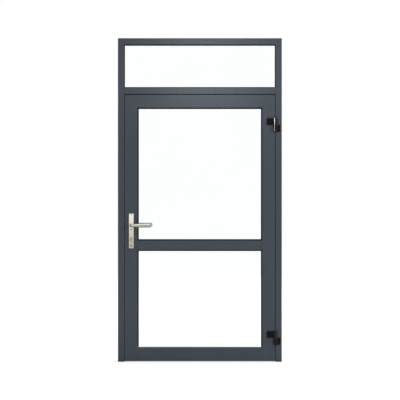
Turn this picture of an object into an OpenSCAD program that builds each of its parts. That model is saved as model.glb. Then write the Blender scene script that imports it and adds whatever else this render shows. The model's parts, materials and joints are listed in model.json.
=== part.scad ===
// Glazed aluminium door in its frame, with a fixed fanlight above the transom.
// X runs across the door, Y from the front to the rear and Z up from the floor.
// A section is drawn in u, from a bar's outer edge inwards, and v, from the front face to the rear.

/* [Frame] */
// Width over the two jambs
frame_w = 1150; // [1000:1:1300]
// Height from the floor to the top of the head
frame_h = 2270; // [2000:1:2600]
// Depth of all the profiles, front to rear
profile_d = 52; // [50:1:64]
// Height of the fanlight's opening, from the transom to the head
fanlight_h = 302; // [200:1:500]
// Visible width of the jambs and the head
frame_face = 44; // [43:1:60]
// Visible height of the transom
transom_face = 46; // [44:1:70]
// Reach of the stops behind the edge of the leaf
stop_w = 22; // [18:1:26]
// Diameter of the wall fixing holes in the jambs
fixing_hole_d = 8; // [6:0.5:10]
// Distance of the outer wall fixings from the ends of the jambs
fixing_end = 205; // [150:1:260]

/* [Leaf] */
// Visible width of the stiles, the top rail and the bottom rail
stile_face = 90; // [90:1:110]
// Visible height of the middle rail
mid_face = 66; // [62:1:100]
// Distance of the middle rail's centre line below the lever's spindle
mid_drop = 140; // [120:1:300]
// Gap between the leaf and the jambs
side_gap = 3; // [3:0.5:7]
// Gap between the leaf and the transom
top_gap = 5; // [4:0.5:7]
// Gap between the leaf and the floor
floor_gap = 5; // [4:0.5:10]

/* [Profile walls] */
// Wall thickness of the hollow profiles
wall = 2; // [1.6:0.1:2.4]
// Width of the front fins that hold the glass
fin_w = 20; // [18:1:22]
// Thickness of the front fins and the stop fins
fin_t = 8; // [7:0.5:9]
// Size of the bevels along the visible front edges
edge_ease = 0.8; // [0.4:0.1:1.2]
// Width of the hairline between two bars that meet
joint_gap = 0.2; // [0.1:0.05:0.4]

/* [Glazing] */
// Thickness of the panes
glass_t = 8; // [6:0.5:10]
// Thickness of the gaskets on both sides of a pane
gasket_t = 4; // [3:0.5:5]
// Strip of a leaf's front gasket that shows beside a fin
gasket_show = 9; // [4:0.5:10]
// Strip of the fanlight's front gasket that shows beside a fin
fan_gasket_show = 5; // [4:0.5:10]
// Space round the edges of a pane
edge_space = 5; // [4:0.5:7]
// Wall thickness of the glazing beads
bead_wall = 1.5; // [1.2:0.1:1.8]
// Length of a setting block
block_l = 100; // [60:1:120]
// Thickness of the seal between the stops and the leaf
seal_t = 6; // [5:0.5:8]
// Width of the seal
seal_w = 9; // [8:0.5:11]

/* [Handle] */
// Height of the lever's spindle above the floor
lever_h = 958; // [940:1:1080]
// Distance of the spindle from the edge of the leaf
backset = 48; // [42:1:48]
// Length of the lever from the spindle to its tip
lever_l = 140; // [120:1:160]
// Distance of the grip's centre line from the face of the leaf
lever_out = 52; // [46:1:60]
// Radius of the lever's neck
neck_r = 10.5; // [9:0.5:11]
// Height of the lever's grip
grip_h = 29; // [22:1:32]
// Thickness of the lever's grip
grip_t = 13; // [10:0.5:16]
// Width of a backplate
plate_w = 35; // [34:1:42]
// Thickness of a backplate
plate_t = 9; // [7:0.5:11]
// Height of a backplate above the spindle
plate_above = 83; // [82:0.5:100]
// Height of a backplate below the spindle
plate_below = 162.5; // [155:0.5:180]

/* [Lock] */
// Distance of the cylinder below the spindle
cyl_drop = 92; // [85:1:95]
// Radius of the cylinder's round part
cyl_r = 8.5; // [8:0.1:9]
// Width of the forend and the strike plate
forend_w = 20; // [18:0.5:22]
// Thickness of the forend
forend_t = 3; // [2.5:0.1:3.5]
// Thickness of the lock case
case_t = 15; // [14:0.5:16]
// Distance that the latch bolt stands out of the leaf
latch_out = 12; // [10:0.5:13]
// Distance that the dead bolt travels
dead_travel = 20; // [15:0.5:20]

/* [Hinges] */
// Distance of the top hinge's centre below the top of the leaf
hinge_drop = 212; // [180:1:300]
// Distance of the bottom hinge's centre above the bottom of the leaf
hinge_rise = 164; // [140:1:300]
// Height of one half of a hinge
hinge_half = 46; // [40:1:56]
// Radius of a hinge knuckle
knuckle_r = 14.5; // [13:0.5:15]
// Distance of the hinge axis in front of the door
axis_out = 16.5; // [15.5:0.5:18]
// Reach of the leaf wing from the hinge axis
leaf_wing_l = 61; // [52:1:70]
// Reach of the frame wing from the hinge axis
frame_wing_l = 33; // [31:1:40]
// Thickness of a wing
wing_t = 12; // [9:0.5:12]
// Radius of a hinge pin
pin_r = 6; // [5:0.5:6.5]

/* [Clearances] */
// Clearance of pieces that are pushed or screwed into each other
fit = 0.2; // [0.1:0.05:0.3]
// Radial clearance of turning pieces
running = 0.05; // [0.03:0.01:0.09]
// Clearance of sliding pieces and of the seal on the closed leaf
slide_play = 0.3; // [0.2:0.05:0.5]

/* [Hidden] */
$fn = 48;

// Overrun of every cut past the face that it opens
over = 1;

// Finishes
coat = [0.21, 0.23, 0.26];
rubber = [0.06, 0.06, 0.065];
clear = [0.78, 0.88, 0.86, 0.35];
satin = [0.83, 0.81, 0.75];
black = [0.07, 0.06, 0.06];
steel = [0.62, 0.63, 0.65];
plastic = [0.16, 0.16, 0.17];

// Grooves for gaskets and seals: width, depth and distance from the fin's tip
groove_w = 4;
groove_d = 4;
groove_edge = 2.5;
// Part of a front gasket that lies behind its fin, and thickness of its lip on the glass
gasket_in = 8;
gasket_lip = 0.8;
// Part of a rear gasket that lies beside its bead, and part that shows
rear_gasket_in = 9;
rear_gasket_show = 1;
// Ends of a gasket's foot, held back from the corners
foot_back = 12;
// Clip grooves for beads and stops: width, depth and distance from the rear face
clip_w = 4;
clip_d = 3;
clip_inset = 6;
// Legs of the corner cleats and length of the connectors
frame_cleat_l = 100;
leaf_cleat_l = 120;
connector_l = 60;
// Radius of the holes that give a driver access to the wall fixings
access_r = 7;
// Number of wall fixings in a jamb
fixing_count = 4;
// Places of the setting blocks, from the middle to the side of a pane
block_share = 0.5;
// Depth of the seal groove under the leaf, from the front, and its lip's distance from the floor
bottom_seal_share = 0.5;
lip_clear = 1.2;

// Chambers behind the fins
frame_chamber = frame_face - fin_w;
transom_chamber = transom_face - fin_w;
leaf_chamber = stile_face - fin_w;

// Main planes and edges
front_y = -profile_d / 2;
frame_x0 = -frame_w / 2;
leaf_x0 = frame_x0 + frame_face + side_gap;
leaf_w = -2 * leaf_x0;
doorway_h = frame_h - frame_face - fanlight_h - transom_face;
leaf_z0 = floor_gap;
leaf_z1 = doorway_h - top_gap;
leaf_h = leaf_z1 - leaf_z0;
mid_h = lever_h - mid_drop;
step_v = profile_d - fin_t - seal_t;
stop_v = profile_d - fin_t;
glass_v = fin_t + gasket_t;
bead_v = glass_v + glass_t + gasket_t;
clip_v = profile_d - clip_inset - clip_w;
stile_in_x = leaf_x0 + leaf_chamber;
jamb_in_x = frame_x0 + frame_chamber;
fixing_pitch = (frame_h - 2 * fixing_end) / (fixing_count - 1);

// Openings between fin tips, as left, right, low and high edges
fan_light = [frame_x0 + frame_face, -frame_x0 - frame_face, doorway_h + transom_face, frame_h - frame_face];
upper_light = [leaf_x0 + stile_face, -leaf_x0 - stile_face, mid_h + mid_face / 2, leaf_z1 - stile_face];
lower_light = [leaf_x0 + stile_face, -leaf_x0 - stile_face, leaf_z0 + stile_face, mid_h - mid_face / 2];

// Lock and handle places
spindle_x = leaf_x0 + backset;
cyl_z = lever_h - cyl_drop;
lock_v = (fin_t + step_v) / 2;
spindle_side = 8;
socket_l = 30;
bend_r = 17;
neck_step = 0.3;
elbow_end_l = 5;
flare_l = 52;
plate_corner_r = 4;
plate_ease = 1.8;
collar_w = 3;
collar_t = 2.5;
collar_ease = 1;
screw_r = 2.5;
screw_head_r = 4.5;
driver_r = 1.8;
driver_d = 1.6;
plate_screw_rises = [75.5, -28, -141];
plate_screw_in = 6;
forend_above = 87;
forend_below = 62;
forend_z0 = cyl_z - forend_below;
forend_z1 = lever_h + forend_above;
forend_screw_end = 10;
forend_screw_r = 1.8;
forend_head_r = 3.4;
forend_screw_l = 9;
case_wall = 1.5;
case_above = 40;
case_below = 29;
case_x0 = leaf_x0 + forend_t;
case_x1 = leaf_x0 + leaf_chamber - wall - fit;
case_z0 = cyl_z - case_below;
case_z1 = lever_h + case_above;
cyl_stem_w = 10;
cyl_h = 33;
cyl_out = 1.5;
cyl_v0 = -plate_t - cyl_out;
cyl_v1 = profile_d + plate_t + cyl_out;
plug_r = 6;
cam_gap = 10;
cam_t = 9.4;
cam_r = 8;
cam_nose_r = 15;
cam_nose_w = 7;
bridge_h = 8.5;
key_slot_w = 1.4;
key_slot_h = 8;
key_slot_d = 4;
hub_r = 10;
hub_bearing_r = 8;
arm_r = 17;
arm_w = 4;
arm_t = 6;
latch_rise = 28;
latch_h = 16;
latch_t = 10;
latch_nose_t = 2;
latch_head_l = 14;
tail_h = 5;
tail_t = 6;
hook_l = 3;
hook_h = 7;
dead_rise = 42;
dead_h = 24;
dead_t = 8;
dead_held = 22;
dead_l = dead_travel + dead_held;
dead_sunk = 0.4;
strike_t = 2;
strike_above = 60;
strike_below = 5;
strike_z0 = cyl_z - strike_below;
strike_z1 = lever_h + strike_above;
strike_play = 2;
strike_screw_end = 9;

// Hinge places
axis_x = -leaf_x0 + side_gap / 2;
axis_y = front_y - axis_out;
hinge_zs = [leaf_z1 - hinge_drop, leaf_z0 + hinge_rise];
bush_flange_t = 1.5;
bush_wall = 2;
knuckle_cap = 4;
knuckle_ease = 1.5;
wing_corner_r = 5;
wing_ease = 1.2;
pin_end = 3;
wing_screw_rise = 12;
leaf_screw_shares = [0.45, 0.8];
frame_screw_share = 0.65;
leaf_screw_l = 24;
frame_screw_l = wing_t + fin_t - joint_gap;

// Plain helper shapes

module rect(u0, v0, u1, v1)
    translate([u0, v0]) square([u1 - u0, v1 - v0]);

module box(xs, vs, zs)
    translate([xs[0], front_y + vs[0], zs[0]])
        cube([xs[1] - xs[0], vs[1] - vs[0], zs[1] - zs[0]]);

module both_sides() {
    children();
    mirror([1, 0, 0]) children();
}

module upright_bar(x, z, length)
    translate([x, front_y, z]) linear_extrude(length) children();

module level_bar_down(x, z, length)
    translate([x, front_y, z]) rotate([0, 90, 0]) linear_extrude(length) children();

module level_bar_up(x, z, length)
    translate([x + length, front_y, z]) rotate([0, -90, 0]) linear_extrude(length) children();

module round_y(r, v0, v1)
    translate([0, front_y + v1, 0]) rotate([90, 0, 0]) cylinder(r = r, h = v1 - v0);

module outline_y(v0, v1)
    translate([0, front_y + v1, 0]) rotate([90, 0, 0]) linear_extrude(v1 - v0) children();

module screw(r, head_r, length, grow = 0) {
    cylinder(r = r + grow, h = length + grow);
    cylinder(r1 = head_r + grow, r2 = r + grow, h = head_r - r);
}

module driven_screw(r, head_r, length)
    difference() {
        screw(r, head_r, length);
        translate([0, 0, -over]) cylinder(r = driver_r, h = driver_d + over, $fn = 6);
    }

// Plate with rounded corners and bevelled front edges, its back on z = 0
module eased_plate(w, h, t, corner_r, ease)
    hull()
        for (x = [corner_r, w - corner_r], y = [corner_r, h - corner_r])
            translate([x, y, 0]) {
                cylinder(r = corner_r, h = t - ease, $fn = 32);
                cylinder(r = corner_r - ease, h = t, $fn = 32);
            }

// Profile sections

module eased_face(face)
    polygon([
        [edge_ease, 0], [face - edge_ease, 0], [face, edge_ease], [face, fin_t],
        [face - fin_w, fin_t], [face - fin_w, profile_d], [0, profile_d], [0, edge_ease]
    ]);

module gasket_groove(face)
    rect(face - groove_edge - groove_w, fin_t - groove_d, face - groove_edge, fin_t + over);

module clip_groove(u)
    rect(u - clip_d, clip_v, u + over, clip_v + clip_w);

module clip_pad(u)
    rect(u - wall - clip_d, clip_v - wall, u, clip_v + clip_w + wall);

module clip_foot(u)
    rect(u - clip_d + fit, clip_v + fit, u + bead_wall, clip_v + clip_w - fit);

module plain_section(face)
    difference() {
        eased_face(face);
        difference() {
            rect(wall, wall, face - fin_w - wall, profile_d - wall);
            clip_pad(face - fin_w);
        }
        gasket_groove(face);
        clip_groove(face - fin_w);
    }

module leaf_section()
    difference() {
        polygon([
            [edge_ease, 0], [stile_face - edge_ease, 0], [stile_face, edge_ease], [stile_face, fin_t],
            [leaf_chamber, fin_t], [leaf_chamber, profile_d], [stop_w, profile_d],
            [stop_w, step_v], [0, step_v], [0, edge_ease]
        ]);
        difference() {
            polygon([
                [wall, wall], [leaf_chamber - wall, wall], [leaf_chamber - wall, profile_d - wall],
                [stop_w + wall, profile_d - wall], [stop_w + wall, step_v - wall], [wall, step_v - wall]
            ]);
            clip_pad(leaf_chamber);
        }
        gasket_groove(stile_face);
        clip_groove(leaf_chamber);
    }

module bottom_section() {
    seal_v = profile_d * bottom_seal_share;
    difference() {
        union() {
            plain_section(stile_face);
            rect(wall / 2, seal_v - groove_w / 2 - wall, groove_d + wall, seal_v + groove_w / 2 + wall);
        }
        rect(-over, seal_v - groove_w / 2, groove_d, seal_v + groove_w / 2);
    }
}

module middle_section()
    difference() {
        union() {
            polygon([
                [edge_ease, 0], [mid_face - edge_ease, 0], [mid_face, edge_ease], [mid_face, fin_t],
                [0, fin_t], [0, edge_ease]
            ]);
            rect(fin_w, fin_t / 2, mid_face - fin_w, profile_d);
        }
        difference() {
            rect(fin_w + wall, wall, mid_face - fin_w - wall, profile_d - wall);
            clip_pad(mid_face - fin_w);
            translate([mid_face, 0]) mirror([1, 0]) clip_pad(mid_face - fin_w);
        }
        for (side = [0, 1])
            translate([side * mid_face, 0]) mirror([side, 0]) {
                gasket_groove(mid_face);
                clip_groove(mid_face - fin_w);
            }
    }

module seal_groove()
    rect(groove_edge, stop_v - over, groove_edge + groove_w, stop_v + groove_d);

module transom_section()
    difference() {
        union() {
            plain_section(transom_face);
            rect(-stop_w, stop_v, wall, profile_d);
        }
        translate([-stop_w, 0]) seal_groove();
    }

module stop_section()
    difference() {
        union() {
            rect(frame_chamber, fin_t + fit, frame_face, profile_d);
            rect(frame_face - wall, stop_v, frame_face + stop_w, profile_d);
            clip_foot(frame_chamber);
        }
        rect(frame_chamber + wall, fin_t + fit + wall, frame_face - wall, profile_d - wall);
        translate([frame_face + stop_w, 0]) mirror([1, 0]) seal_groove();
    }

// Seal in the groove of a stop fin, drawn from the fin's tip
module seal_section() {
    lip_v = step_v + slide_play;
    polygon([
        [0, stop_v], [0, lip_v + seal_t / 2], [seal_w / 3, lip_v], [seal_w * 2 / 3, lip_v],
        [seal_w, lip_v + seal_t / 2], [seal_w, stop_v]
    ]);
    rect(groove_edge + fit, stop_v - seal_t / 3, groove_edge + groove_w - fit, stop_v + groove_d - fit);
}

module bead_section()
    difference() {
        union() {
            polygon([
                [0, bead_v], [fin_w, bead_v], [fin_w, profile_d - edge_ease],
                [fin_w - edge_ease, profile_d], [0, profile_d]
            ]);
            clip_foot(0);
        }
        rect(bead_wall, bead_v + bead_wall, fin_w - bead_wall, profile_d - bead_wall);
    }

// Half space beyond the mitre at a top left corner: side 1 takes the level bar, side -1 the upright
module mitre_cut(x, z, side) {
    reach = 3 * stile_face;
    translate([x, 0, z]) rotate([0, 45, 0])
        translate([-reach, -reach, side > 0 ? -joint_gap / 2 : joint_gap / 2 - 2 * reach])
            cube(2 * reach);
}

// Front corners that a level bar leaves for the fins of the uprights
module fin_notch(x, z0, z1)
    box([x - over, x + fin_w + joint_gap], [-over, fin_t + fit], [z0 - over, z1 + over]);

// Frame

module wall_fixings()
    for (i = [0 : fixing_count - 1])
        translate([frame_x0, 0, fixing_end + i * fixing_pitch]) rotate([0, 90, 0]) {
            translate([0, 0, -over]) cylinder(d = fixing_hole_d, h = wall + 2 * over);
            translate([0, 0, wall + over]) cylinder(r = access_r, h = frame_chamber);
        }

module jamb()
    difference() {
        upright_bar(frame_x0, 0, frame_h) plain_section(frame_face);
        mitre_cut(frame_x0, frame_h, 1);
        wall_fixings();
    }

module frame_jamb_left() color(coat) jamb();

module frame_jamb_right()
    color(coat)
        difference() {
            mirror([1, 0, 0]) jamb();
            frame_wing_screws(fit);
        }

module frame_head()
    color(coat)
        difference() {
            level_bar_down(frame_x0, frame_h, frame_w) plain_section(frame_face);
            both_sides() mitre_cut(frame_x0, frame_h, -1);
        }

module frame_transom() {
    x0 = jamb_in_x + joint_gap;
    stop_end = stop_w + fin_w + joint_gap;
    color(coat)
        difference() {
            level_bar_up(x0, doorway_h, -2 * x0) transom_section();
            both_sides() {
                fin_notch(jamb_in_x, doorway_h, doorway_h + transom_face);
                box([x0 - over, jamb_in_x + stop_end], [stop_v - over, profile_d + over],
                    [doorway_h - stop_w - over, doorway_h]);
            }
        }
}

// Corner cleat in the chambers of two mitred bars, from the corner at x, z
module cleat(x, z, chamber, leg, v1) {
    near = wall + fit;
    far = chamber - wall - fit;
    vs = [wall + fit, v1 - wall - fit];
    box([x + near, x + leg], vs, [z - far, z - near]);
    box([x + near, x + far], vs, [z - leg, z - near]);
}

module frame_corner_cleats()
    color(steel) both_sides() cleat(frame_x0, frame_h, frame_chamber, frame_cleat_l, clip_v);

// Block in the end of a level bar, between z0 and z1 inside its walls
module connector(x, z0, z1)
    box([x, x + connector_l], [fin_t + 2 * fit, clip_v - wall - fit], [z0 + wall + fit, z1 - wall - fit]);

module transom_connectors()
    color(steel) both_sides() connector(jamb_in_x, doorway_h, doorway_h + transom_chamber);

module door_stop()
    upright_bar(frame_x0, 0, doorway_h - joint_gap) stop_section();

module door_stop_left()
    color(coat)
        difference() {
            door_stop();
            strike_outline(fit);
        }

module door_stop_right() color(coat) mirror([1, 0, 0]) door_stop();

module stop_seals() {
    tip_u = frame_face + stop_w;
    x0 = frame_x0 + tip_u + joint_gap;
    top_z = doorway_h - stop_w;
    color(rubber) {
        both_sides()
            upright_bar(frame_x0 + tip_u, 0, top_z + seal_w) mirror([1, 0]) seal_section();
        level_bar_up(x0, top_z, -2 * x0) seal_section();
    }
}

// Glazing, the same for each light

module pane(light)
    box([light[0] - fin_w + edge_space, light[1] + fin_w - edge_space], [glass_v, glass_v + glass_t],
        [light[2] - fin_w + edge_space, light[3] + fin_w - edge_space]);

module light_slab(light, grow, v0, v1)
    box([light[0] - grow, light[1] + grow], [v0, v1], [light[2] - grow, light[3] + grow]);

module light_ring(light, outer, inner, v0, v1)
    difference() {
        light_slab(light, outer, v0, v1);
        light_slab(light, inner, v0 - over, v1 + over);
    }

// Front gasket beside a fin, with a sloping strip from the fin's tip down to the glass
module gasket_section(show)
    polygon([
        [-gasket_in, fin_t], [0, fin_t], [show, glass_v - gasket_lip],
        [show, glass_v], [-gasket_in, glass_v]
    ]);

module front_gasket(light, show) {
    x0 = light[0] - gasket_in;
    z0 = light[2] - gasket_in;
    vs = [fin_t - groove_d + fit, fin_t + gasket_t / 2];
    foot_w = groove_w - 2 * fit;
    foot_in = groove_edge + fit;
    both_sides() upright_bar(light[0], z0, light[3] + gasket_in - z0) gasket_section(show);
    level_bar_up(x0, light[2], -2 * x0) gasket_section(show);
    level_bar_down(x0, light[3], -2 * x0) gasket_section(show);
    for (z = [light[2] - foot_in - foot_w, light[3] + foot_in])
        box([light[0] + foot_back, light[1] - foot_back], vs, [z, z + foot_w]);
    for (x = [light[0] - foot_in - foot_w, light[1] + foot_in])
        box([x, x + foot_w], vs, [light[2] + foot_back, light[3] - foot_back]);
}

module rear_gasket(light)
    light_ring(light, rear_gasket_in, -rear_gasket_show, glass_v + glass_t, bead_v);

module beads_level(light) {
    x0 = light[0] - fin_w + fit;
    length = light[1] + fin_w - fit - x0;
    level_bar_up(x0, light[2] - fin_w, length) bead_section();
    level_bar_down(x0, light[3] + fin_w, length) bead_section();
}

module beads_upright(light)
    both_sides()
        upright_bar(light[0] - fin_w, light[2] + fit, light[3] - light[2] - 2 * fit) bead_section();

module setting_blocks(light) {
    middle = (light[1] - light[0]) / 2 * block_share;
    z0 = light[2] - fin_w;
    both_sides()
        box([middle - block_l / 2, middle + block_l / 2], [glass_v, glass_v + glass_t],
            [z0, z0 + edge_space]);
}

module fanlight_glass() color(clear) pane(fan_light);
module fanlight_gasket_front() color(rubber) front_gasket(fan_light, fan_gasket_show);
module fanlight_gasket_rear() color(rubber) rear_gasket(fan_light);
module fanlight_beads_level() color(coat) beads_level(fan_light);
module fanlight_beads_upright() color(coat) beads_upright(fan_light);
module fanlight_setting_blocks() color(plastic) setting_blocks(fan_light);

module upper_glass() color(clear) pane(upper_light);
module upper_gasket_front() color(rubber) front_gasket(upper_light, gasket_show);
module upper_gasket_rear() color(rubber) rear_gasket(upper_light);
module upper_beads_level() color(coat) beads_level(upper_light);
module upper_beads_upright() color(coat) beads_upright(upper_light);

module lower_glass() color(clear) pane(lower_light);
module lower_gasket_front() color(rubber) front_gasket(lower_light, gasket_show);
module lower_gasket_rear() color(rubber) rear_gasket(lower_light);
module lower_beads_level() color(coat) beads_level(lower_light);
module lower_beads_upright() color(coat) beads_upright(lower_light);

module leaf_setting_blocks()
    color(plastic) {
        setting_blocks(upper_light);
        setting_blocks(lower_light);
    }

// Leaf

module stile()
    difference() {
        upright_bar(leaf_x0, leaf_z0, leaf_h) leaf_section();
        mitre_cut(leaf_x0, leaf_z1, 1);
    }

module stile_lock()
    color(coat)
        difference() {
            stile();
            box([leaf_x0 - over, leaf_x0 + forend_t], forend_span(fit), [forend_z0 - fit, forend_z1 + fit]);
            translate([spindle_x, 0, lever_h]) round_y(hub_bearing_r, -over, profile_d + over);
            cylinder_outline(fit, -over, profile_d + over);
            plate_screws(fit);
        }

module stile_hinge()
    color(coat)
        difference() {
            mirror([1, 0, 0]) stile();
            leaf_wing_screws(fit);
        }

module rail_top()
    color(coat)
        difference() {
            level_bar_down(leaf_x0, leaf_z1, leaf_w) leaf_section();
            both_sides() mitre_cut(leaf_x0, leaf_z1, -1);
        }

module rail_between(z0, z1) {
    x0 = stile_in_x + joint_gap;
    difference() {
        level_bar_up(x0, z0, -2 * x0) children();
        both_sides() fin_notch(stile_in_x, z0, z1);
    }
}

module rail_middle()
    color(coat) rail_between(mid_h - mid_face / 2, mid_h + mid_face / 2) middle_section();

module rail_bottom()
    color(coat) rail_between(leaf_z0, leaf_z0 + stile_face) bottom_section();

module leaf_corner_cleats()
    color(steel) both_sides() cleat(leaf_x0, leaf_z1, leaf_chamber, leaf_cleat_l, step_v);

module rail_connectors() {
    mid_z0 = mid_h - mid_face / 2 + fin_w;
    color(steel)
        both_sides() {
            connector(stile_in_x, mid_z0, mid_h + mid_face / 2 - fin_w);
            connector(stile_in_x, leaf_z0 + groove_d, leaf_z0 + leaf_chamber);
        }
}

module bottom_seal() {
    x0 = stile_in_x + joint_gap;
    v = profile_d * bottom_seal_share;
    foot = groove_w / 2 - fit;
    color(rubber)
        level_bar_up(x0, leaf_z0, -2 * x0) {
            rect(-joint_gap, v - foot, groove_d - fit, v + foot);
            polygon([
                [0, v - groove_w], [0, v + groove_w], [-floor_gap / 4, v + groove_w],
                [lip_clear - floor_gap, v + foot], [lip_clear - floor_gap, v - foot],
                [-floor_gap / 4, v - groove_w]
            ]);
        }
}

// Lock

function around(middle, size, grow) = [middle - size / 2 - grow, middle + size / 2 + grow];
function latch_zs(grow) = around(lever_h + latch_rise, latch_h, grow);
function dead_zs(grow) = around(cyl_z + dead_rise, dead_h, grow);
function forend_span(grow) = around(lock_v, forend_w, grow);
function bolt_span(t, grow) = around(lock_v, t, grow);

module latch_hole(x0, x1, play) box([x0, x1], bolt_span(latch_t, play), latch_zs(play));
module dead_hole(x0, x1, play) box([x0, x1], bolt_span(dead_t, play), dead_zs(play));

module cylinder_outline(grow, v0, v1)
    translate([spindle_x, 0, cyl_z])
        outline_y(v0, v1) {
            stem_r = cyl_stem_w / 2 + grow;
            stem_z = cyl_r + cyl_stem_w / 2 - cyl_h;
            circle(r = cyl_r + grow);
            translate([0, stem_z]) circle(r = stem_r);
            rect(-stem_r, stem_z, stem_r, 0);
        }

module lock_case() {
    vs = bolt_span(case_t, 0);
    inner_vs = bolt_span(case_t, -case_wall);
    color(steel)
        difference() {
            box([case_x0, case_x1], vs, [case_z0, case_z1]);
            box([case_x0 + case_wall, case_x1 - case_wall], inner_vs,
                [case_z0 + case_wall, case_z1 - case_wall]);
            latch_hole(case_x0 - over, case_x0 + case_wall + over, slide_play);
            dead_hole(case_x0 - over, case_x0 + case_wall + over, slide_play);
            translate([spindle_x, 0, lever_h])
                round_y(hub_bearing_r + running, vs[0] - over, vs[1] + over);
            cylinder_outline(fit, vs[0] - over, vs[1] + over);
            plate_screws(fit);
            lock_forend_screws(fit);
        }
}

module lock_forend()
    color(steel)
        difference() {
            box([leaf_x0, leaf_x0 + forend_t], forend_span(0), [forend_z0, forend_z1]);
            latch_hole(leaf_x0 - over, leaf_x0 + forend_t + over, slide_play);
            dead_hole(leaf_x0 - over, leaf_x0 + forend_t + over, slide_play);
            lock_forend_screws(fit);
        }

module forend_screw(z, length, grow)
    translate([leaf_x0, front_y + lock_v, z]) rotate([0, 90, 0])
        if (grow > 0) screw(forend_screw_r, forend_head_r, length, grow);
        else driven_screw(forend_screw_r, forend_head_r, length);

// Two screws at the ends of the forend and the long one that holds the cylinder by its bridge
module lock_forend_screws(grow = 0) {
    forend_screw(forend_z0 + forend_screw_end, forend_screw_l, grow);
    forend_screw(forend_z1 - forend_screw_end, forend_screw_l, grow);
    forend_screw(cyl_z + cyl_r - cyl_h + bridge_h / 2, backset, grow);
}

module lock_screws() color(steel) lock_forend_screws();

module cylinder_body() {
    gap = [lock_v - cam_gap / 2, lock_v + cam_gap / 2];
    bridge_z = cyl_z + cyl_r - cyl_h + bridge_h;
    color(satin)
        difference() {
            cylinder_outline(0, cyl_v0, cyl_v1);
            translate([spindle_x, 0, cyl_z]) round_y(plug_r + running, cyl_v0 - over, cyl_v1 + over);
            box([spindle_x - cyl_h, spindle_x + cyl_h], gap, [bridge_z, cyl_z + cyl_h]);
            lock_forend_screws(fit);
        }
}

module cylinder_plugs() {
    gap = [lock_v - cam_t / 2, lock_v + cam_t / 2];
    color(satin)
        translate([spindle_x, 0, cyl_z])
            difference() {
                union() {
                    round_y(plug_r, cyl_v0, cyl_v1);
                    round_y(cam_r, gap[0], gap[1]);
                    box([-cam_nose_w / 2, cam_nose_w / 2], gap, [0, cam_nose_r]);
                }
                box([-key_slot_w / 2, key_slot_w / 2], [cyl_v0 - over, cyl_v0 + key_slot_d],
                    [-key_slot_h / 2, key_slot_h / 2]);
                box([-key_slot_w / 2, key_slot_w / 2], [cyl_v1 - key_slot_d, cyl_v1 + over],
                    [-key_slot_h / 2, key_slot_h / 2]);
            }
}

module latch_bolt() {
    near_v = lock_v - latch_t / 2;
    far_v = lock_v + latch_t / 2;
    hook_x = spindle_x + arm_w / 2 + slide_play;
    tail_z = latch_zs(0)[0];
    color(steel) {
        translate([leaf_x0, front_y, tail_z])
            linear_extrude(latch_h)
                polygon([
                    [-latch_out, near_v], [latch_head_l, near_v], [latch_head_l, far_v], [0, far_v],
                    [-latch_out, near_v + latch_nose_t]
                ]);
        box([leaf_x0 + latch_head_l - over, hook_x + hook_l], bolt_span(tail_t, 0),
            [tail_z, tail_z + tail_h]);
        box([hook_x, hook_x + hook_l], bolt_span(tail_t, 0), [tail_z - hook_h, tail_z + tail_h]);
    }
}

module dead_bolt()
    color(steel) dead_hole(leaf_x0 + dead_sunk, leaf_x0 + dead_sunk + dead_l, 0);

module strike_outline(grow)
    box([frame_x0 + frame_face - strike_t - grow, frame_x0 + frame_face + over],
        forend_span(grow), [strike_z0 - grow, strike_z1 + grow]);

module strike_plate_screws(grow = 0)
    for (z = [strike_z0 + strike_screw_end, strike_z1 - strike_screw_end])
        translate([frame_x0 + frame_face, front_y + lock_v, z]) rotate([0, -90, 0])
            if (grow > 0) screw(forend_screw_r, forend_head_r, forend_screw_l, grow);
            else driven_screw(forend_screw_r, forend_head_r, forend_screw_l);

module strike_plate() {
    x1 = frame_x0 + frame_face;
    color(steel)
        difference() {
            box([x1 - strike_t, x1], forend_span(0), [strike_z0, strike_z1]);
            latch_hole(x1 - strike_t - over, x1 + over, strike_play);
            dead_hole(x1 - strike_t - over, x1 + over, strike_play);
            strike_plate_screws(fit);
        }
}

module strike_screws() color(steel) strike_plate_screws();

// Handle

module plate_screws(grow = 0)
    for (rise = plate_screw_rises)
        translate([spindle_x, front_y - plate_t, lever_h + rise]) rotate([-90, 0, 0])
            if (grow > 0) screw(screw_r, screw_head_r, plate_t + profile_d + plate_screw_in, grow);
            else driven_screw(screw_r, screw_head_r, plate_t + profile_d + plate_screw_in);

// Bearing collar round the lever's neck, on the face of a backplate
module collar()
    translate([spindle_x, front_y - plate_t, lever_h]) rotate([90, 0, 0]) {
        translate([0, 0, -over]) cylinder(r = neck_r + collar_w, h = over + collar_t - collar_ease);
        translate([0, 0, collar_t - collar_ease])
            cylinder(r1 = neck_r + collar_w, r2 = neck_r + collar_w - collar_ease, h = collar_ease);
    }

module backplate()
    difference() {
        union() {
            translate([spindle_x - plate_w / 2, front_y, lever_h - plate_below]) rotate([90, 0, 0])
                eased_plate(plate_w, plate_above + plate_below, plate_t, plate_corner_r, plate_ease);
            collar();
        }
        translate([spindle_x, 0, lever_h]) round_y(neck_r + running, -plate_t - collar_t - over, over);
        cylinder_outline(fit, -plate_t - over, over);
    }

module backplate_front()
    color(satin)
        difference() {
            backplate();
            plate_screws(fit);
        }

module backplate_rear()
    color(satin)
        difference() {
            mirror([0, 1, 0]) backplate();
            plate_screws(fit);
        }

module backplate_screws() color(steel) plate_screws();

// Rounded edges of the lever's grip at a distance from the spindle
module grip_end(x)
    for (side = [-1, 1])
        translate([x, -lever_out, side * (grip_h - grip_t) / 2]) sphere(r = grip_t / 2, $fn = 32);

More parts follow.
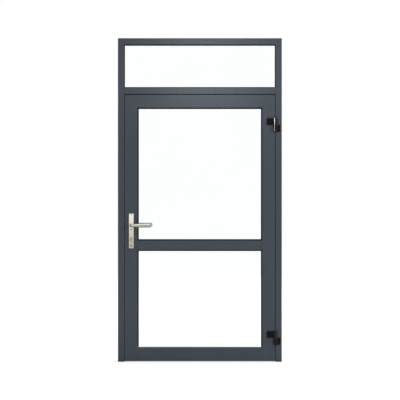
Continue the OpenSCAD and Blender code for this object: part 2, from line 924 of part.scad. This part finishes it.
// Lever on the front: a round neck, a bend and a grip that widens to its full height
module lever() {
    bend_v = bend_r - lever_out;
    start_x = bend_r + elbow_end_l - over;
    translate([spindle_x, front_y, lever_h])
        difference() {
            union() {
                translate([0, -slide_play, 0]) rotate([90, 0, 0])
                    cylinder(r = neck_r, h = -bend_v - slide_play);
                translate([bend_r, bend_v, 0]) rotate([0, 0, 180])
                    rotate_extrude(angle = 90) translate([bend_r, 0]) circle(r = neck_r);
                translate([bend_r, -lever_out, 0]) rotate([0, 90, 0]) cylinder(r = neck_r, h = elbow_end_l);
                hull() {
                    translate([start_x, -lever_out, 0]) rotate([0, 90, 0])
                        cylinder(r = neck_r - neck_step, h = over, $fn = 32);
                    grip_end(flare_l);
                    grip_end(lever_l - grip_t / 2);
                }
            }
            translate([0, -socket_l / 2, 0])
                cube([spindle_side + 2 * fit, socket_l, spindle_side + 2 * fit], center = true);
        }
}

module lever_front() color(satin) lever();
module lever_rear() color(satin) mirror([0, 1, 0]) lever();

module spindle() {
    half = spindle_side / 2;
    end = socket_l - 2 * slide_play;
    color(steel)
        translate([spindle_x, 0, lever_h]) box([-half, half], [-end, profile_d + end], [-half, half]);
}

module lock_follower() {
    vs = bolt_span(case_t, 0);
    inner_vs = bolt_span(case_t, -case_wall - slide_play);
    half = spindle_side / 2 + fit;
    color(steel)
        translate([spindle_x, 0, lever_h])
            difference() {
                union() {
                    round_y(hub_bearing_r, vs[0], vs[1]);
                    round_y(hub_r, inner_vs[0], inner_vs[1]);
                    box([-arm_w / 2, arm_w / 2], bolt_span(arm_t, 0), [0, arm_r]);
                }
                box([-half, half], [vs[0] - over, vs[1] + over], [-half, half]);
            }
}

// Hinges: the leaf half stands on the frame half, with a flanged bush between them

module wing(reach)
    translate([0, axis_out, 0]) rotate([90, 0, 0])
        eased_plate(reach, hinge_half, wing_t, wing_corner_r, wing_ease);

module knuckle() {
    cylinder(r = knuckle_r, h = hinge_half - knuckle_ease);
    translate([0, 0, hinge_half - knuckle_ease])
        cylinder(r1 = knuckle_r, r2 = knuckle_r - knuckle_ease, h = knuckle_ease);
}

module leaf_wing(z)
    difference() {
        translate([axis_x, axis_y, z + bush_flange_t / 2]) {
            mirror([1, 0, 0]) wing(leaf_wing_l);
            knuckle();
        }
        translate([axis_x, axis_y, z + bush_flange_t / 2 - over])
            cylinder(r = pin_r + running + bush_wall, h = hinge_half - knuckle_cap + over);
        leaf_wing_screws(fit);
    }

module frame_wing(z)
    difference() {
        translate([axis_x, axis_y, z - bush_flange_t / 2 - slide_play]) mirror([0, 0, 1]) {
            wing(frame_wing_l);
            knuckle();
        }
        translate([axis_x, axis_y, z - bush_flange_t / 2 - hinge_half + pin_end])
            cylinder(r = pin_r, h = hinge_half);
        frame_wing_screws(fit);
    }

module hinge_top_leaf_wing() color(black) leaf_wing(hinge_zs[0]);
module hinge_bottom_leaf_wing() color(black) leaf_wing(hinge_zs[1]);
module hinge_top_frame_wing() color(black) frame_wing(hinge_zs[0]);
module hinge_bottom_frame_wing() color(black) frame_wing(hinge_zs[1]);

module hinge_pins()
    color(steel)
        for (z = hinge_zs)
            translate([axis_x, axis_y, z - bush_flange_t / 2 - hinge_half + pin_end])
                cylinder(r = pin_r, h = 2 * hinge_half - pin_end - knuckle_cap - slide_play);

module hinge_bushes()
    color(plastic)
        for (z = hinge_zs)
            translate([axis_x, axis_y, z - bush_flange_t / 2])
                difference() {
                    union() {
                        cylinder(r = knuckle_r - knuckle_ease, h = bush_flange_t);
                        cylinder(r = pin_r + running + bush_wall,
                            h = bush_flange_t + hinge_half - knuckle_cap);
                    }
                    translate([0, 0, -over])
                        cylinder(r = pin_r + running, h = bush_flange_t + hinge_half + 2 * over);
                }

module wing_screws(x, z, length, grow)
    for (rise = [-wing_screw_rise, wing_screw_rise])
        translate([x, front_y - wing_t, z + rise]) rotate([-90, 0, 0])
            if (grow > 0) screw(screw_r, screw_head_r, length, grow);
            else driven_screw(screw_r, screw_head_r, length);

module leaf_wing_screws(grow = 0)
    for (z = hinge_zs, share = leaf_screw_shares)
        wing_screws(axis_x - leaf_wing_l * share, z + (bush_flange_t + hinge_half) / 2, leaf_screw_l, grow);

module frame_wing_screws(grow = 0)
    for (z = hinge_zs)
        wing_screws(axis_x + frame_wing_l * frame_screw_share,
            z - (bush_flange_t + hinge_half) / 2 - slide_play, frame_screw_l - wall / 2, grow);

module hinge_leaf_screws() color(steel) leaf_wing_screws();
module hinge_frame_screws() color(steel) frame_wing_screws();

frame_jamb_left();
frame_jamb_right();
frame_head();
frame_transom();
frame_corner_cleats();
transom_connectors();
door_stop_left();
door_stop_right();
stop_seals();
fanlight_glass();
fanlight_gasket_front();
fanlight_gasket_rear();
fanlight_beads_level();
fanlight_beads_upright();
fanlight_setting_blocks();
strike_plate();
strike_screws();
hinge_top_frame_wing();
hinge_bottom_frame_wing();
hinge_pins();
hinge_frame_screws();
stile_lock();
stile_hinge();
rail_top();
rail_middle();
rail_bottom();
leaf_corner_cleats();
rail_connectors();
bottom_seal();
upper_glass();
upper_gasket_front();
upper_gasket_rear();
upper_beads_level();
upper_beads_upright();
lower_glass();
lower_gasket_front();
lower_gasket_rear();
lower_beads_level();
lower_beads_upright();
leaf_setting_blocks();
hinge_top_leaf_wing();
hinge_bottom_leaf_wing();
hinge_bushes();
hinge_leaf_screws();
lock_case();
lock_forend();
lock_screws();
cylinder_body();
backplate_front();
backplate_rear();
backplate_screws();
lever_front();
lever_rear();
spindle();
lock_follower();
latch_bolt();
dead_bolt();
cylinder_plugs();
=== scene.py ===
import json
import math
from collections import namedtuple

import bpy
from mathutils import Color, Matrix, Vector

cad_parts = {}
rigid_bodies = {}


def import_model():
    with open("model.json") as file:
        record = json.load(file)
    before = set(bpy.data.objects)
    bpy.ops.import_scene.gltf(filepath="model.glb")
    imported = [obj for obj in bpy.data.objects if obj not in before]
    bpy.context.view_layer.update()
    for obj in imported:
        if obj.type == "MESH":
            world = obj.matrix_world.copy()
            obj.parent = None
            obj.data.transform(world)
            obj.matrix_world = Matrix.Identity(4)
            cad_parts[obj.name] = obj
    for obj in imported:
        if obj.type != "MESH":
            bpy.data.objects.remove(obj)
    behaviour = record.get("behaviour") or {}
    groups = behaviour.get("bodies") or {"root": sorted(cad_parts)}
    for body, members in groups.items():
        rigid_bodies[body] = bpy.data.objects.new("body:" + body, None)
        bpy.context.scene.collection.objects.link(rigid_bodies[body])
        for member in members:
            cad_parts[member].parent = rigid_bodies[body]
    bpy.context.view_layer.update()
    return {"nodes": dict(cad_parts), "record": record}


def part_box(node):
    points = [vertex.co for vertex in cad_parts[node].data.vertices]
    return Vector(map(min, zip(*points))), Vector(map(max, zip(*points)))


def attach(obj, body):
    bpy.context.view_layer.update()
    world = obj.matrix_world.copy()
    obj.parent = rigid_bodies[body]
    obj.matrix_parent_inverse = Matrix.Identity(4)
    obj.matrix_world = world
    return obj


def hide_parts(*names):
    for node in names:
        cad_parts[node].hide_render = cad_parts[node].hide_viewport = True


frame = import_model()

nodes = frame["nodes"]
print("frame loaded:", len(nodes), "nodes")


class Sock:  # a node socket that takes part in plain expressions
    def __init__(self, tree, out):
        self.tree = tree
        self.out = out

    def combine(self, operation, other):
        return make(self.tree, "ShaderNodeMath", {"operation": operation}, {0: self, 1: other})

    def __add__(self, other):
        return self.combine("ADD", other)

    __radd__ = __add__

    def __mul__(self, other):
        return self.combine("MULTIPLY", other)

    __rmul__ = __mul__


def make(tree, kind, settings, inputs, output=0):  # any node: its settings first, then its sockets
    node = tree.nodes.new(kind)
    for name, value in settings.items():
        setattr(node, name, value)
    for name, value in inputs.items():
        if isinstance(value, Sock):
            tree.links.new(value.out, node.inputs[name])
        else:
            node.inputs[name].default_value = value
    return Sock(tree, node.outputs[output]) if node.outputs else None


def mixColour(tree, factor, a, b):  # the node's colour sockets are 6, 7 and, going out, 2
    return make(tree, "ShaderNodeMix", {"data_type": "RGBA"}, {0: factor, 6: a, 7: b}, 2)


def objectPlace(tree, stretch=(1, 1, 1)):
    place = make(tree, "ShaderNodeTexCoord", {}, {}, "Object")
    return make(tree, "ShaderNodeMapping", {}, {"Vector": place, "Scale": stretch})


def noise(tree, place, scale, detail):
    return make(tree, "ShaderNodeTexNoise", {}, {"Vector": place, "Scale": scale, "Detail": detail})


def blend(first, second, share):  # share is how much of the second
    return first * (1 - share) + second * share


def bump(tree, height, strength, depth):
    return make(tree, "ShaderNodeBump", {}, {"Height": height, "Strength": strength, "Distance": depth})


def rayMask(tree, *kinds):  # 1 for these kinds of ray and 0 for the others
    total = sum(make(tree, "ShaderNodeLightPath", {}, {}, kind) for kind in kinds)
    return make(tree, "ShaderNodeMath", {"operation": "MINIMUM"}, {0: total, 1: 1.0})


def linear(red, green, blue):  # screen colour, 0 to 255, to scene colour
    screen = Color([level / 255 for level in (red, green, blue)])
    return (*screen.from_srgb_to_scene_linear(), 1.0)


def surface(name, constants, recipe, *choices):
    material = bpy.data.materials.new(name)
    material.use_nodes = True
    tree = material.node_tree
    shader = tree.nodes["Principled BSDF"]
    for socket, value in constants.items():
        shader.inputs[socket].default_value = value
    for socket, value in recipe(tree, *choices).items():
        tree.links.new(value.out, shader.inputs[socket])
    return material


# In the finishes a noise is its waves per metre and its detail, and a bump its strength and depth.
# Roughness is the least one, to which the noises add.
coating = {
    "colour": linear(50, 57, 67),
    "worn": linear(57, 64, 74),
    "cloud": (3.5, 3.0),
    "peel": (700.0, 2.0),       # orange peel of the powder coat
    "speck": (5200.0, 1.0),     # fine powder texture
    "speckShare": 0.3,          # beside the cloud in colour, and the peel in height
    "roughness": 0.31,
    "cloudRough": 0.06,
    "speckRough": 0.05,
    "bump": (0.12, 0.0004),
}


def coatingRecipe(tree):
    place = objectPlace(tree)
    cloud = noise(tree, place, *coating["cloud"])
    peel = noise(tree, place, *coating["peel"])
    speck = noise(tree, place, *coating["speck"])
    tone = blend(cloud, speck, coating["speckShare"])
    height = blend(peel, speck, coating["speckShare"])
    rough = cloud * coating["cloudRough"] + speck * coating["speckRough"]
    return {
        "Base Color": mixColour(tree, tone, coating["colour"], coating["worn"]),
        "Roughness": coating["roughness"] + rough,
        "Normal": bump(tree, height, *coating["bump"]),
    }


gasketRubber = {
    "colour": linear(11, 11, 13),
    "dusty": linear(20, 20, 22),
    "dust": (60.0, 4.0),
    "grain": (2500.0, 2.0),
    "roughness": 0.62,
    "dustRough": 0.2,
    "bump": (0.2, 0.0003),
    "gloss": {"Specular IOR Level": 0.2},
    "footHighlight": linear(104, 111, 119),   # painted highlight along the foot of the lower pane, standing in for light from above on its upward faces
    "highlightTop": 0.115,                     # height where it ends
    "fade": 0.01,                       # height over which it thins out
    "footHighlightLeast": 0.7,                # least share of the painted highlight, to which the dust noise adds
    "footHighlightNoise": 0.3,
}


def rubberRecipe(tree):
    place = objectPlace(tree)
    dust = noise(tree, place, *gasketRubber["dust"])
    grain = noise(tree, place, *gasketRubber["grain"])
    return {
        "Base Color": mixColour(tree, dust, gasketRubber["colour"], gasketRubber["dusty"]),
        "Roughness": gasketRubber["roughness"] + dust * gasketRubber["dustRough"],
        "Normal": bump(tree, grain, *gasketRubber["bump"]),
    }


def lowRubberRecipe(tree):  # round the lower pane, with a painted highlight along its foot
    look = rubberRecipe(tree)
    place = objectPlace(tree)
    dust = noise(tree, place, *gasketRubber["dust"])
    height = make(tree, "ShaderNodeSeparateXYZ", {}, {"Vector": place}, "Z")
    highlightTop = gasketRubber["highlightTop"]
    reach = {"Value": height, "From Min": highlightTop, "From Max": highlightTop - gasketRubber["fade"]}
    foot = make(tree, "ShaderNodeMapRange", {}, reach)
    # painted highlight: the rubber at the foot of the lower pane is lightened, as if light from above
    # fell on its upward faces
    footHighlight = foot * (gasketRubber["footHighlightLeast"] + dust * gasketRubber["footHighlightNoise"])
    look["Base Color"] = mixColour(tree, footHighlight, look["Base Color"], gasketRubber["footHighlight"])
    return look


satinMetal = {
    "plate": {"colour": linear(176, 173, 161), "deep": linear(157, 154, 143), "roughness": 0.26},
    "lever": {"colour": linear(173, 173, 166), "deep": linear(154, 154, 148), "roughness": 0.14},
    "brushed": (40, 900, 1800),     # waves per metre along x, y and z
    "grain": (1.0, 3.0),
    "cloud": (30.0, 3.0),
    "grainShare": 0.5,
    "grainRough": 0.1,
    "cloudRough": 0.05,
    "bump": (0.06, 0.0002),
}


def satinRecipe(tree, look):
    grain = noise(tree, objectPlace(tree, satinMetal["brushed"]), *satinMetal["grain"])
    cloud = noise(tree, objectPlace(tree), *satinMetal["cloud"])
    tone = blend(cloud, grain, satinMetal["grainShare"])
    rough = grain * satinMetal["grainRough"] + cloud * satinMetal["cloudRough"]
    return {
        "Base Color": mixColour(tree, tone, look["deep"], look["colour"]),
        "Roughness": look["roughness"] + rough,
        "Normal": bump(tree, grain, *satinMetal["bump"]),
    }


hingeBlack = {
    "colour": linear(15, 8, 8),
    "light": linear(23, 14, 13),
    "wingFace": -0.0385,    # the knuckles stand in front of this plane
    "fade": 0.002,          # over which their clear coat begins
    "leafShine": 0.4,       # clear coat on the leaf halves' knuckles
    "frameShine": 0.14,     # and on the duller frame halves
    "gloss": {"Specular IOR Level": 0.09, "Coat Roughness": 0.1},
    "speck": (3200.0, 2.0),
    "cloud": (25.0, 3.0),
    "roughness": 0.3,
    "speckRough": 0.08,
    "bump": (0.15, 0.0003),
}


def hingeRecipe(tree, shine):
    place = objectPlace(tree)
    speck = noise(tree, place, *hingeBlack["speck"])
    cloud = noise(tree, place, *hingeBlack["cloud"])
    depth = make(tree, "ShaderNodeSeparateXYZ", {}, {"Vector": place}, "Y")
    face = hingeBlack["wingFace"]
    reach = {"Value": depth, "From Min": face, "From Max": face - hingeBlack["fade"]}
    knuckle = make(tree, "ShaderNodeMapRange", {}, reach)
    return {
        "Base Color": mixColour(tree, cloud, hingeBlack["colour"], hingeBlack["light"]),
        "Coat Weight": knuckle * shine,
        "Roughness": hingeBlack["roughness"] + speck * hingeBlack["speckRough"],
        "Normal": bump(tree, speck, *hingeBlack["bump"]),
    }


bareSteel = {
    "colour": linear(186, 187, 190),
    "deep": linear(150, 151, 155),
    "drawn": (300, 300, 2400),      # waves per metre along x, y and z
    "grain": (1.0, 3.0),
    "stain": (90.0, 3.0),
    "grainShare": 0.4,
    "roughness": 0.26,
    "grainRough": 0.12,
    "stainRough": 0.06,
    "bump": (0.08, 0.0002),
}


def steelRecipe(tree):
    grain = noise(tree, objectPlace(tree, bareSteel["drawn"]), *bareSteel["grain"])
    stain = noise(tree, objectPlace(tree), *bareSteel["stain"])
    tone = blend(stain, grain, bareSteel["grainShare"])
    rough = grain * bareSteel["grainRough"] + stain * bareSteel["stainRough"]
    return {
        "Base Color": mixColour(tree, tone, bareSteel["deep"], bareSteel["colour"]),
        "Roughness": bareSteel["roughness"] + rough,
        "Normal": bump(tree, grain, *bareSteel["bump"]),
    }


nickel = {
    "colour": linear(196, 184, 160),
    "deep": linear(166, 153, 130),
    "stain": (120.0, 4.0),
    "turned": (200, 3000, 200),     # waves per metre along x, y and z
    "ridge": (1.0, 2.0),
    "roughness": 0.24,
    "stainRough": 0.1,
    "ridgeRough": 0.05,
    "bump": (0.05, 0.0002),
}


def nickelRecipe(tree):
    stain = noise(tree, objectPlace(tree), *nickel["stain"])
    ridge = noise(tree, objectPlace(tree, nickel["turned"]), *nickel["ridge"])
    rough = stain * nickel["stainRough"] + ridge * nickel["ridgeRough"]
    return {
        "Base Color": mixColour(tree, stain, nickel["deep"], nickel["colour"]),
        "Roughness": nickel["roughness"] + rough,
        "Normal": bump(tree, ridge, *nickel["bump"]),
    }


# Darkened screw steel: painted shade standing in for the shade in the screw heads' recesses, with a
# random stain noise
screwShade = {
    "colour": linear(104, 94, 84),
    "deep": linear(78, 68, 60),
    "stain": (150.0, 3.0),
    "roughness": 0.32,
    "stainRough": 0.12,
    "bump": (0.06, 0.0002),
}


def screwShadeRecipe(tree):
    stain = noise(tree, objectPlace(tree), *screwShade["stain"])
    return {
        "Base Color": mixColour(tree, stain, screwShade["deep"], screwShade["colour"]),
        "Roughness": screwShade["roughness"] + stain * screwShade["stainRough"],
        "Normal": bump(tree, stain, *screwShade["bump"]),
    }


millAluminium = {
    "colour": linear(200, 201, 204),
    "deep": linear(176, 178, 182),
    "drawn": (60, 1500, 1500),      # waves per metre along x, y and z
    "grain": (1.0, 3.0),
    "roughness": 0.3,
    "grainRough": 0.15,
    "bump": (0.08, 0.0002),
}


def millRecipe(tree):
    grain = noise(tree, objectPlace(tree, millAluminium["drawn"]), *millAluminium["grain"])
    return {
        "Base Color": mixColour(tree, grain, millAluminium["deep"], millAluminium["colour"]),
        "Roughness": millAluminium["roughness"] + grain * millAluminium["grainRough"],
        "Normal": bump(tree, grain, *millAluminium["bump"]),
    }


nylon = {
    "colour": linear(38, 38, 40),
    "light": linear(52, 52, 54),
    "grain": (1800.0, 2.0),
    "roughness": 0.5,
    "grainRough": 0.15,
    "bump": (0.12, 0.0002),
}


def nylonRecipe(tree):
    grain = noise(tree, objectPlace(tree), *nylon["grain"])
    return {
        "Base Color": mixColour(tree, grain, nylon["colour"], nylon["light"]),
        "Roughness": nylon["roughness"] + grain * nylon["grainRough"],
        "Normal": bump(tree, grain, *nylon["bump"]),
    }


pane = {
    "tint": linear(254, 255, 255),
    "dim": linear(252, 254, 254),
    "haze": (2.2, 2.0),
    "hazeRough": 0.008,
}


def paneRecipe(tree):
    haze = noise(tree, objectPlace(tree), *pane["haze"])
    return {
        "Base Color": mixColour(tree, haze, pane["dim"], pane["tint"]),
        "Roughness": haze * pane["hazeRough"],
    }


finishes = {    # one for each slot of the record
    "grey_coating": surface("greyCoating", {"Specular IOR Level": 0.35}, coatingRecipe),
    "seal_rubber": surface("sealRubber", gasketRubber["gloss"], rubberRecipe),
    "satin_handle": surface("satinHandle", {"Metallic": 0.9}, satinRecipe, satinMetal["plate"]),
    "hinge_black": surface("hingeBlack", hingeBlack["gloss"], hingeRecipe, hingeBlack["leafShine"]),
    "bare_steel": surface("bareSteel", {"Metallic": 1.0}, steelRecipe),
    "nickel_brass": surface("nickelBrass", {"Metallic": 1.0}, nickelRecipe),
    "raw_aluminium": surface("rawAluminium", {"Metallic": 1.0}, millRecipe),
    "black_nylon": surface("blackNylon", {"Specular IOR Level": 0.45}, nylonRecipe),
    "clear_glass": surface("clearGlass", {"Transmission Weight": 1.0, "IOR": 1.5}, paneRecipe),
}
leverMetal = surface("satinLever", {"Metallic": 0.9}, satinRecipe, satinMetal["lever"])
dullHinge = surface("dullHinge", hingeBlack["gloss"], hingeRecipe, hingeBlack["frameShine"])
lowRubber = surface("lowRubber", gasketRubber["gloss"], lowRubberRecipe)
ownFinish = {   # pieces that differ from the rest of their slot
    # the backplate's screws are darkened, painted shade of their recesses
    "backplate_screws": surface("screwShadeSteel", {"Metallic": 1.0}, screwShadeRecipe),
    "lower_gasket_front": lowRubber,
    "lower_gasket_rear": lowRubber,
    "hinge_top_frame_wing": dullHinge,
    "hinge_bottom_frame_wing": dullHinge,
}
slotOf = {row["node"]: row["material_slot"] for row in frame["record"]["subparts"]}
for name, piece in nodes.items():
    piece.data.materials.clear()
    piece.data.materials.append(ownFinish.get(name, finishes[slotOf[name]]))
print("finishes set:", len(finishes))


leverShape = {
    "neck": 0.0105,             # radius of the round neck
    "bend": 0.017,              # radius of the elbow's centre line
    "elbow": 0.022,             # where the round part ends, from the spindle
    "flare": 0.054,             # where the grip has its full height
    "grip": (0.0065, 0.0145),   # half thickness and half height at the tip
    "sides": 40,
    "elbowRings": 12,
    "gripRings": 18,
    "tipRings": 7,              # the last one leaves a small flat cap
    "tipTurn": math.radians(12),    # from one of these to the next
    "smooth": math.radians(40),     # flatter edges are shaded smooth
}
rightAngle = math.pi / 2
Ring = namedtuple("Ring", "x y turn thick tall")    # a cross-section: centre, turn and half sizes


def ease(share):
    return share * share * (3 - 2 * share)


def leverRings(length, depth):  # from the backplate round the elbow to the tip
    neck, bend = leverShape["neck"], leverShape["bend"]
    thin, tall = leverShape["grip"]
    start, wide, end = leverShape["elbow"], leverShape["flare"], length - thin
    rings = [Ring(0.0, bend - depth, 0.0, neck, neck)]
    for step in range(leverShape["elbowRings"]):
        turn = rightAngle * ((step + 1) / leverShape["elbowRings"])
        x, y = bend - bend * math.cos(turn), bend - depth - bend * math.sin(turn)
        rings.append(Ring(x, y, turn, neck, neck))
    for step in range(leverShape["gripRings"] + 1):
        share = step / leverShape["gripRings"]
        x = start + (end - start) * share
        height = neck + (tall - neck) * ease(min(1.0, (x - start) / (wide - start)))
        rings.append(Ring(x, -depth, rightAngle, neck + (thin - neck) * share, height))
    for step in range(leverShape["tipRings"]):
        turn = (step + 1) * leverShape["tipTurn"]
        left = thin * math.cos(turn)
        rings.append(Ring(end + thin * math.sin(turn), -depth, rightAngle, left, tall - thin + left))
    return rings


def sweepLever(node):
    low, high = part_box(node)
    neck = leverShape["neck"]
    base = (low.x + neck, high.y, (low.z + high.z) / 2)
    depth = high.y - low.y - neck
    bpy.ops.object.select_all(action="DESELECT")
    bpy.ops.mesh.primitive_circle_add(vertices=leverShape["sides"], radius=neck, fill_type="NGON",
                                      location=base, rotation=(rightAngle, 0, 0))
    bpy.ops.object.transform_apply(location=True, rotation=True, scale=True)
    piece = bpy.context.object
    bpy.ops.object.mode_set(mode="EDIT")
    bpy.ops.mesh.select_all(action="SELECT")
    last = Ring(0.0, 0.0, 0.0, neck, neck)
    for ring in leverRings(high.x - base[0], depth):
        centre = (base[0] + ring.x, base[1] + ring.y, base[2])
        move = (ring.x - last.x, ring.y - last.y, 0)
        bpy.ops.mesh.extrude_region_move(TRANSFORM_OT_translate={"value": move})
        if ring.turn != last.turn:
            bpy.ops.transform.rotate(value=last.turn - ring.turn, orient_axis="Z", orient_type="GLOBAL",
                                     center_override=centre)
        growth = (1, ring.thick / last.thick, ring.tall / last.tall)
        if growth != (1, 1, 1):
            bpy.ops.transform.resize(value=growth, center_override=centre)
        last = ring
    bpy.ops.mesh.select_all(action="SELECT")
    bpy.ops.mesh.normals_make_consistent(inside=False)
    bpy.ops.object.mode_set(mode="OBJECT")
    bpy.ops.object.shade_smooth_by_angle(angle=leverShape["smooth"])
    return piece


def otherSide(piece):  # the same lever on the rear face
    bpy.ops.object.select_all(action="DESELECT")
    piece.select_set(True)
    bpy.context.view_layer.objects.active = piece
    bpy.ops.object.duplicate()
    copy = bpy.context.object
    bpy.ops.object.mode_set(mode="EDIT")
    bpy.ops.mesh.select_all(action="SELECT")
    bpy.ops.transform.resize(value=(1, -1, 1), center_override=(0, 0, 0))
    bpy.ops.mesh.normals_make_consistent(inside=False)
    bpy.ops.object.mode_set(mode="OBJECT")
    return copy


def fitLevers():
    front = sweepLever("lever_front")
    for piece, node in ((front, "lever_front"), (otherSide(front), "lever_rear")):
        piece.name = "smooth_" + node
        piece.data.materials.clear()
        piece.data.materials.append(leverMetal)
        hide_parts(node)
        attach(piece, "lever")


fitLevers()
print("levers swept")


view = {
    "distance": 5.0,      # camera to the middle of the door
    "height": 1.135,
    "side": 0.001,        # the door stands this much left of the picture's middle
    "across": 2.805,      # width that the picture spans at the front face
    "sensor": 36.0,
    "farthest": 60.0,     # what the camera still shows
}


def addCamera():
    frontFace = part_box("frame_jamb_left")[0].y
    camera = bpy.data.cameras.new("camera")
    camera.sensor_width = view["sensor"]
    camera.lens = view["sensor"] * (view["distance"] + frontFace) / view["across"]
    camera.clip_end = view["farthest"]
    holder = bpy.data.objects.new("camera", camera)
    holder.location = (view["side"], -view["distance"], view["height"])
    holder.rotation_euler = (rightAngle, 0, 0)
    bpy.context.scene.collection.objects.link(holder)
    bpy.context.scene.camera = holder


# Soft says whether a lamp lights matt surfaces, and shine whether it shows in glossy ones.
# A lamp with on lights the pieces in those finishes alone.
lamps = {
    "key": {
        "place": (0.05, -1.4, 2.3), "aim": (0.05, 0, 2.3), "size": (0.8, 0.7), "power": 8.0,
        "tint": (0.92, 0.97, 1.0), "soft": False, "shine": True, "on": ("greyCoating",),
    },
    "side": {
        "place": (-5.5, -2.2, 2.35), "aim": (0.5, 0, 1.6), "size": (3.0, 0.5), "power": 420.0,
        "tint": (0.93, 0.97, 1.0), "soft": False, "shine": True, "on": ("hingeBlack", "dullHinge"),
    },
    "fill": {
        "place": (2.4, -1.9, 2.2), "aim": (0.4, 0, 1.6), "size": (0.8, 1.2), "power": 39.0,
        "tint": (1.0, 0.99, 0.96), "soft": True, "shine": False,
    },
    "handle": {
        "place": (-0.62, -1.2, 1.1), "aim": (-0.48, 0, 1.0), "size": (0.5, 0.34), "power": 2.2,
        "tint": (1.0, 0.99, 0.94), "soft": False, "shine": True, "on": ("satinHandle",),
    },
    "neck": {
        "place": (-0.95, -0.9, 1.55), "aim": (-0.46, -0.07, 0.96), "size": (0.6, 1.2), "power": 7.0,
        "tint": (1.0, 0.99, 0.97), "soft": False, "shine": True, "on": ("satinLever",),
    },
    "grip": {
        "place": (-0.45, -1.3, 1.7), "aim": (-0.42, -0.07, 0.96), "size": (1.0, 0.7), "power": 3.8,
        "tint": (1.0, 0.99, 0.96), "soft": False, "shine": True, "on": ("satinLever",),
    },
    "low": {
        "place": (-0.4, -2.3, 0.3), "aim": (-0.1, 0, 0.3), "size": (1.0, 0.5), "power": 14.0,
        "tint": (1.0, 0.92, 0.84), "soft": True, "shine": False,
    },
    "rear": {
        "place": (1.8, 4.2, 3.2), "aim": (0, 0, 1.1), "size": (2.6, 2.0), "power": 90.0,
        "tint": (1.0, 1.0, 1.0), "soft": True, "shine": True,
    },
}


def addLamp(name, spec):
    lamp = bpy.data.lights.new(name, "AREA")
    lamp.shape = "RECTANGLE"
    lamp.size, lamp.size_y = spec["size"]
    lamp.energy = spec["power"]
    lamp.color = spec["tint"]
    holder = bpy.data.objects.new(name, lamp)
    holder.location = spec["place"]
    x, y, z = (a - b for a, b in zip(spec["aim"], spec["place"]))
    tilt = math.atan2(z, math.hypot(x, y))
    holder.rotation_euler = (rightAngle + tilt, 0, math.atan2(-x, y))
    holder.visible_camera = False
    holder.visible_diffuse = spec["soft"]
    holder.visible_glossy = spec["shine"]
    holder.visible_transmission = False
    bpy.context.scene.collection.objects.link(holder)
    if "on" in spec:
        lit = bpy.data.collections.new(name + "Lit")
        for piece in bpy.data.objects:
            if piece.type == "MESH" and any(finish.name in spec["on"] for finish in piece.data.materials):
                lit.objects.link(piece)
        holder.light_linking.receiver_collection = lit


studio = {"ambient": (0.97, 0.99, 1.0, 1.0), "strength": 0.6, "white": (1.0, 1.0, 1.0, 1.0)}


def addWorld():  # the camera, glass and metal see white, and the ambient light is weaker
    world = bpy.data.worlds.new("studio")
    bpy.context.scene.world = world
    world.use_nodes = True
    tree = world.node_tree
    tree.nodes.clear()
    shown = rayMask(tree, "Is Camera Ray", "Is Transmission Ray", "Is Glossy Ray")
    ambientLight = {"Color": studio["ambient"], "Strength": studio["strength"]}
    ambient = make(tree, "ShaderNodeBackground", {}, ambientLight)
    white = make(tree, "ShaderNodeBackground", {}, {"Color": studio["white"], "Strength": 1.0})
    both = make(tree, "ShaderNodeMixShader", {}, {0: shown, 1: ambient, 2: white})
    make(tree, "ShaderNodeOutputWorld", {}, {"Surface": both})


floorLook = {
    "half": 14.0,
    "drop": 0.0005,     # keeps the floor clear of the jambs' feet
    "colour": (0.9, 0.9, 0.9, 1.0),
    "glow": 0.5,        # lifts it to the background's white where the camera sees it, also through glass
}


def addFloor():
    bpy.ops.object.select_all(action="DESELECT")
    bpy.ops.mesh.primitive_plane_add(size=2 * floorLook["half"], location=(0, 0, -floorLook["drop"]))
    floor = bpy.context.object
    floor.name = "floor"
    material = bpy.data.materials.new("paleFloor")
    material.use_nodes = True
    tree = material.node_tree
    tree.nodes.clear()
    shown = rayMask(tree, "Is Camera Ray", "Is Transmission Ray")
    matt = make(tree, "ShaderNodeBsdfDiffuse", {}, {"Color": floorLook["colour"]})
    whiteLight = {"Color": studio["white"], "Strength": shown * floorLook["glow"]}
    glow = make(tree, "ShaderNodeEmission", {}, whiteLight)
    both = make(tree, "ShaderNodeAddShader", {}, {0: matt, 1: glow})
    make(tree, "ShaderNodeOutputMaterial", {}, {"Surface": both})
    floor.data.materials.append(material)


bpy.context.scene.view_settings.view_transform = "Standard"
addCamera()
for name, spec in lamps.items():
    addLamp(name, spec)
addWorld()
addFloor()
print("stage set")
